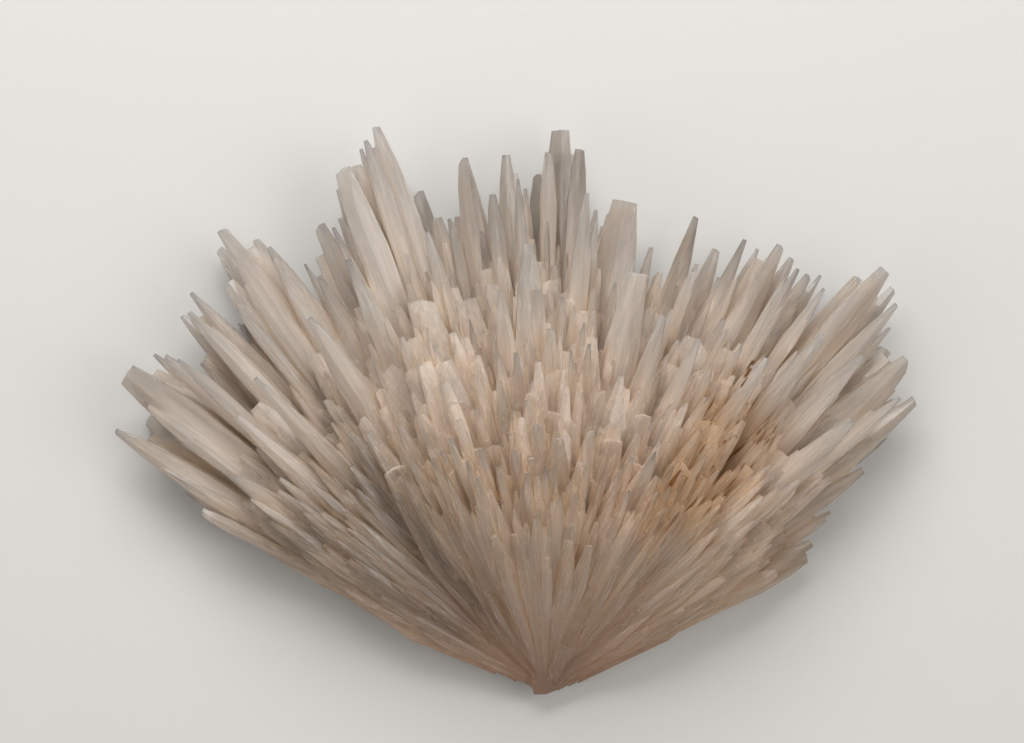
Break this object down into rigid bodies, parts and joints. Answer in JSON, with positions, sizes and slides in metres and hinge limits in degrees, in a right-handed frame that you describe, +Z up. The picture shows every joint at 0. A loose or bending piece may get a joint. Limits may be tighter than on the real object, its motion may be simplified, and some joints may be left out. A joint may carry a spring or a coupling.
{
  "type": "strontianite specimen",
  "caption": "Fan-shaped spray of spear-tipped strontianite crystals grown together from one broken root, lying on its flat back with its face up.",
  "frame": {"origin": "on the resting surface, under the middle of the spray's bounding box", "axes": "+Z up through the face, +Y from the root towards the crown of the fan, +X to the right as the face is seen from above"},
  "size_m": [0.0848, 0.0604, 0.0265],
  "materials": {
    "milky_strontianite": "satin"
  },
  "bodies": {
    "root": {"strontianite_spray": "milky_strontianite"}
  },
  "joints": []
}
